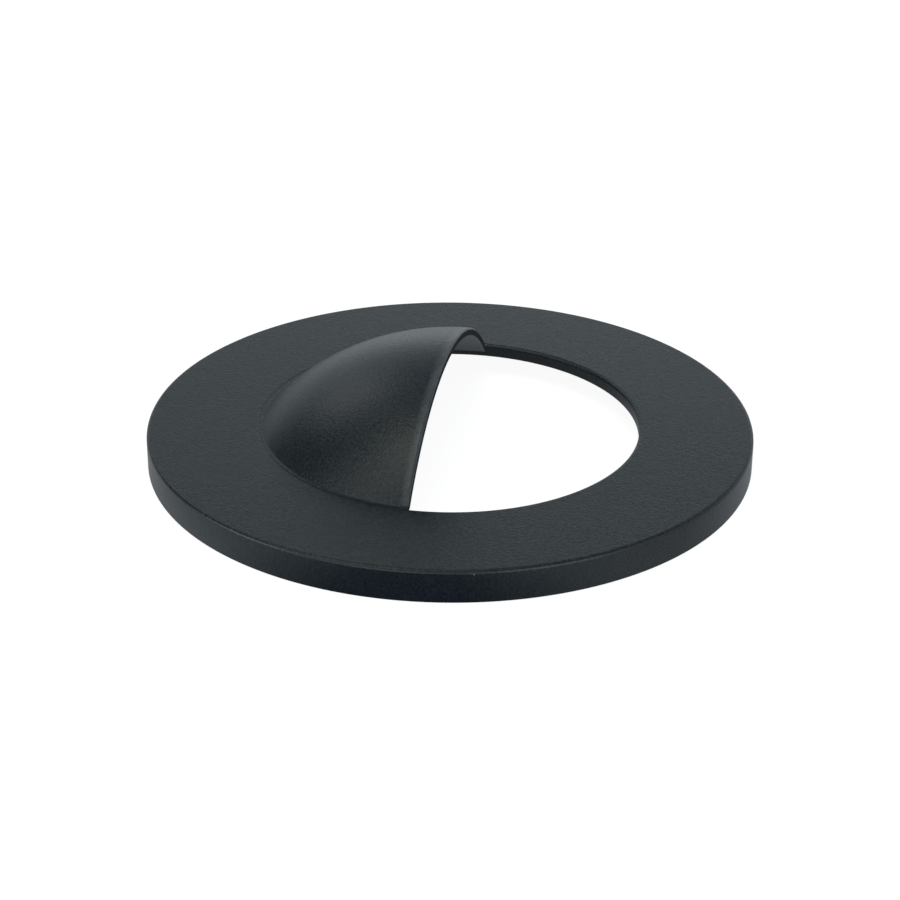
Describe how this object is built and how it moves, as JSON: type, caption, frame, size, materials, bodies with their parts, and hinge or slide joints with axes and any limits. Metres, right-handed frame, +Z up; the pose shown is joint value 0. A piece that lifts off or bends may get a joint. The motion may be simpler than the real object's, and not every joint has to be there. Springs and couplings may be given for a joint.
{
  "type": "eyelid trim ring",
  "caption": "Round trim ring with a short skirt and a half-dome eyelid hood over half of its opening, for a recessed light.",
  "frame": {"origin": "centre of the plane of the skirt's rim, which the trim rests on", "axes": "+Z up out of the face, +X out of the hood's mouth, +Y to the left of someone who looks out of the mouth"},
  "size_m": [0.1, 0.1, 0.0184],
  "materials": {
    "ring_coat": "satin black powder coat with a very fine grain",
    "hood_coat": "satin black powder coat with a very fine grain",
    "screw_steel": "plain stainless steel",
    "magnet_nickel": "bright nickel plate"
  },
  "bodies": {
    "root": {"trim_ring": "ring_coat", "eyelid_hood": "hood_coat", "hood_screw_back": "screw_steel", "hood_screw_left": "screw_steel", "hood_screw_right": "screw_steel", "magnet_front_left": "magnet_nickel", "magnet_back_left": "magnet_nickel", "magnet_back_right": "magnet_nickel", "magnet_front_right": "magnet_nickel"}
  },
  "joints": []
}
